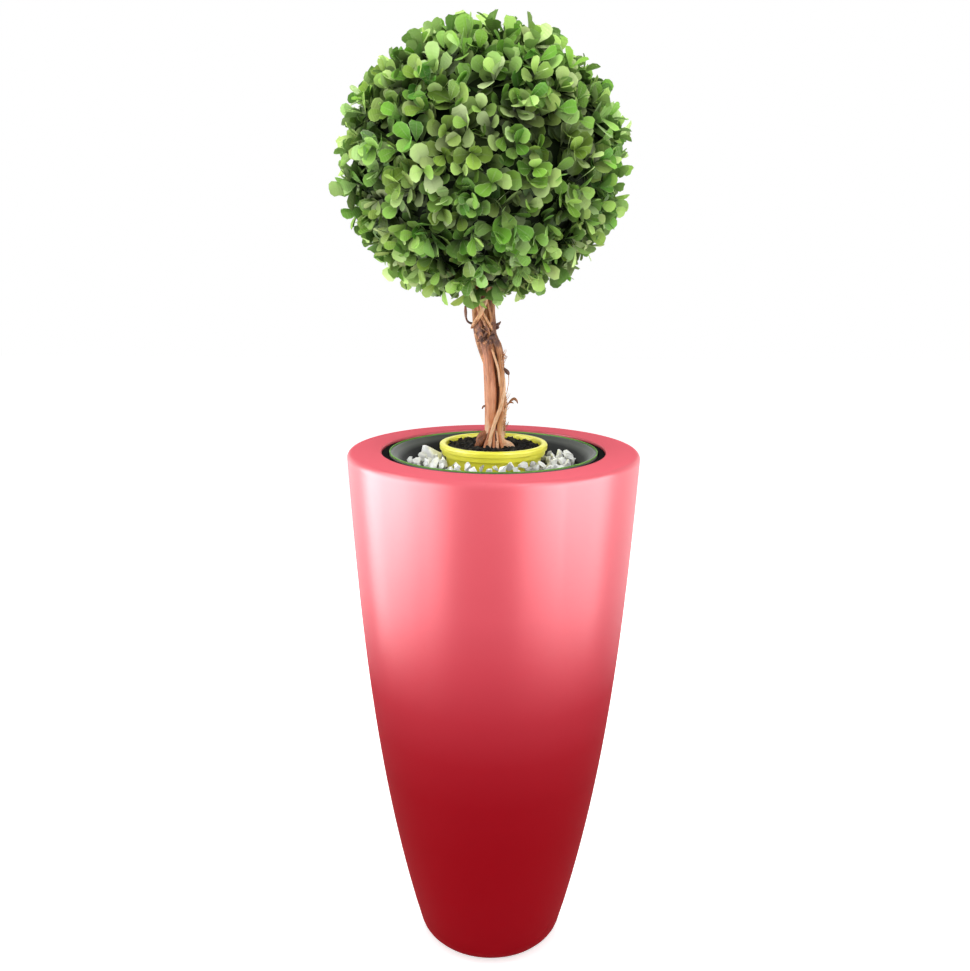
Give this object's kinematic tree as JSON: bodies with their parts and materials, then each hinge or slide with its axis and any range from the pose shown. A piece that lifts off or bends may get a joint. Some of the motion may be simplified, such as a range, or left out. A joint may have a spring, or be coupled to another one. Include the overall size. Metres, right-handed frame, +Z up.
{
  "type": "planted floor planter",
  "caption": "Tall tapered round floor planter with a turned-in rim and a lift-out liner, dressed with marble chips and a potted topiary ball on a vine-wound stem.",
  "frame": {"origin": "centre of the base, on the floor", "axes": "+Z up along the planter's axis; -Y towards the viewer; +X to the viewer's right"},
  "size_m": [0.3632, 0.3552, 1.1532],
  "materials": {
    "planter_red": "glossy moulded plastic, light pink at the rim deepening to red at the foot",
    "collar_black": "satin black moulded plastic",
    "plug_rubber": "plain black rubber",
    "liner_grey": "smooth grey plastic",
    "trim_green": "thin green plastic bead",
    "gravel": "loose rounded gravel",
    "marble": "white broken marble chips",
    "pot_yellow": "glossy yellow plastic",
    "plaster": "cast plaster",
    "soil": "dark crumbled bark",
    "stem_bark": "smooth natural bark",
    "vine_bark": "thin rough vine bark",
    "foam": "dark green craft foam",
    "leaf_green": "artificial leaves, dark to yellow green"
  },
  "bodies": {
    "planter": {"outer_shell": "planter_red", "collar": "collar_black", "drain_plug": "plug_rubber", "plug_washer": "plug_rubber"},
    "liner": {"liner": "liner_grey", "liner_trim": "trim_green", "gravel_fill": "gravel", "marble_chips": "marble"},
    "plant": {"grow_pot": "pot_yellow", "plaster_block": "plaster", "potting_soil": "soil", "main_stem": "stem_bark", "vine_1": "vine_bark", "vine_2": "vine_bark", "vine_3": "vine_bark", "vine_4": "vine_bark", "vine_wrap": "vine_bark", "foam_core": "foam", "sprigs_top": "leaf_green", "sprigs_middle": "leaf_green", "sprigs_bottom": "leaf_green"}
  },
  "joints": [
    {"name": "liner_lift", "type": "slide", "parent": "planter", "child": "liner", "axis": [0, 0, 1], "range_m": [0, 0.3]},
    {"name": "plant_lift", "type": "slide", "parent": "liner", "child": "plant", "axis": [0, 0, 1], "range_m": [0, 0.2]}
  ]
}
